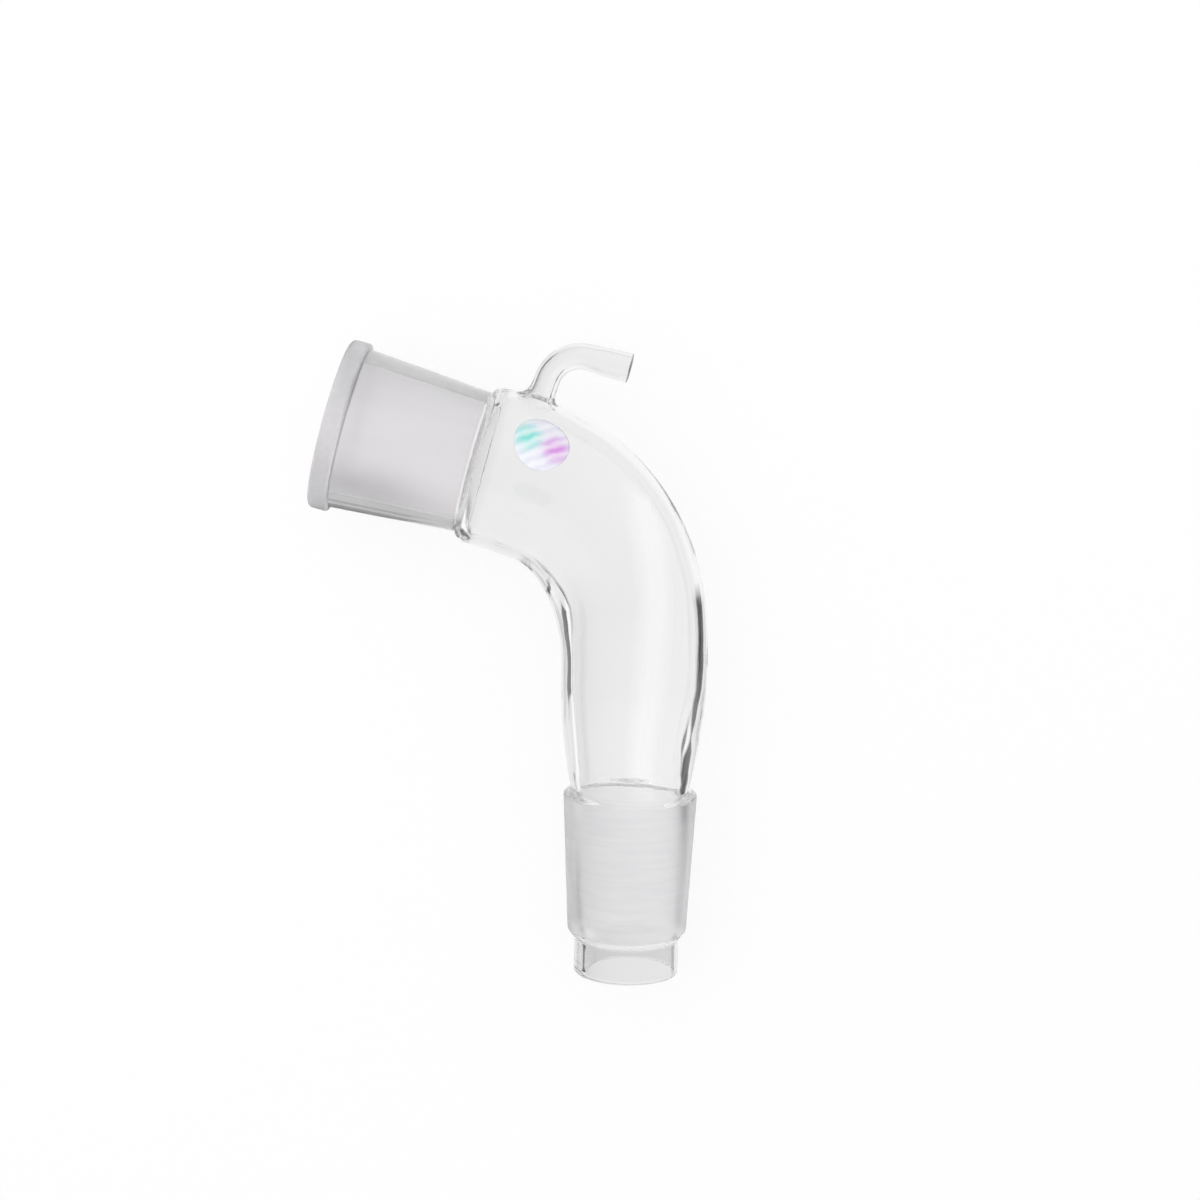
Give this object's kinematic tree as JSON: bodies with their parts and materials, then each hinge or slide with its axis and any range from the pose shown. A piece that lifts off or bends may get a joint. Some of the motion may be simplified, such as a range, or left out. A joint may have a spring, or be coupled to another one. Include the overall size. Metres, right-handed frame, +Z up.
{
  "type": "vacuum take-off adapter",
  "caption": "Bent glass take-off adapter with a ground socket, a ground cone with a drip tip, and a curved side arm for a vacuum hose.",
  "frame": {"origin": "middle of the bounding box in X and Y, on the surface that the glass lies on", "axes": "+Z up from that surface; +Y from the drip tip towards the bend, almost along the cone's axis; -X towards the socket's mouth. The plane of the bend is tipped about 3 degrees, as the glass comes to rest."},
  "size_m": [0.0874, 0.1388, 0.0372],
  "materials": {
    "glass": "clear blown borosilicate glass, with the cone's outside and the socket's bore ground matt",
    "foil": "thin metallised film that shines in pale teal, lavender and magenta"
  },
  "bodies": {
    "root": {"adapter_glass": "glass", "foil_seal": "foil"}
  },
  "joints": []
}
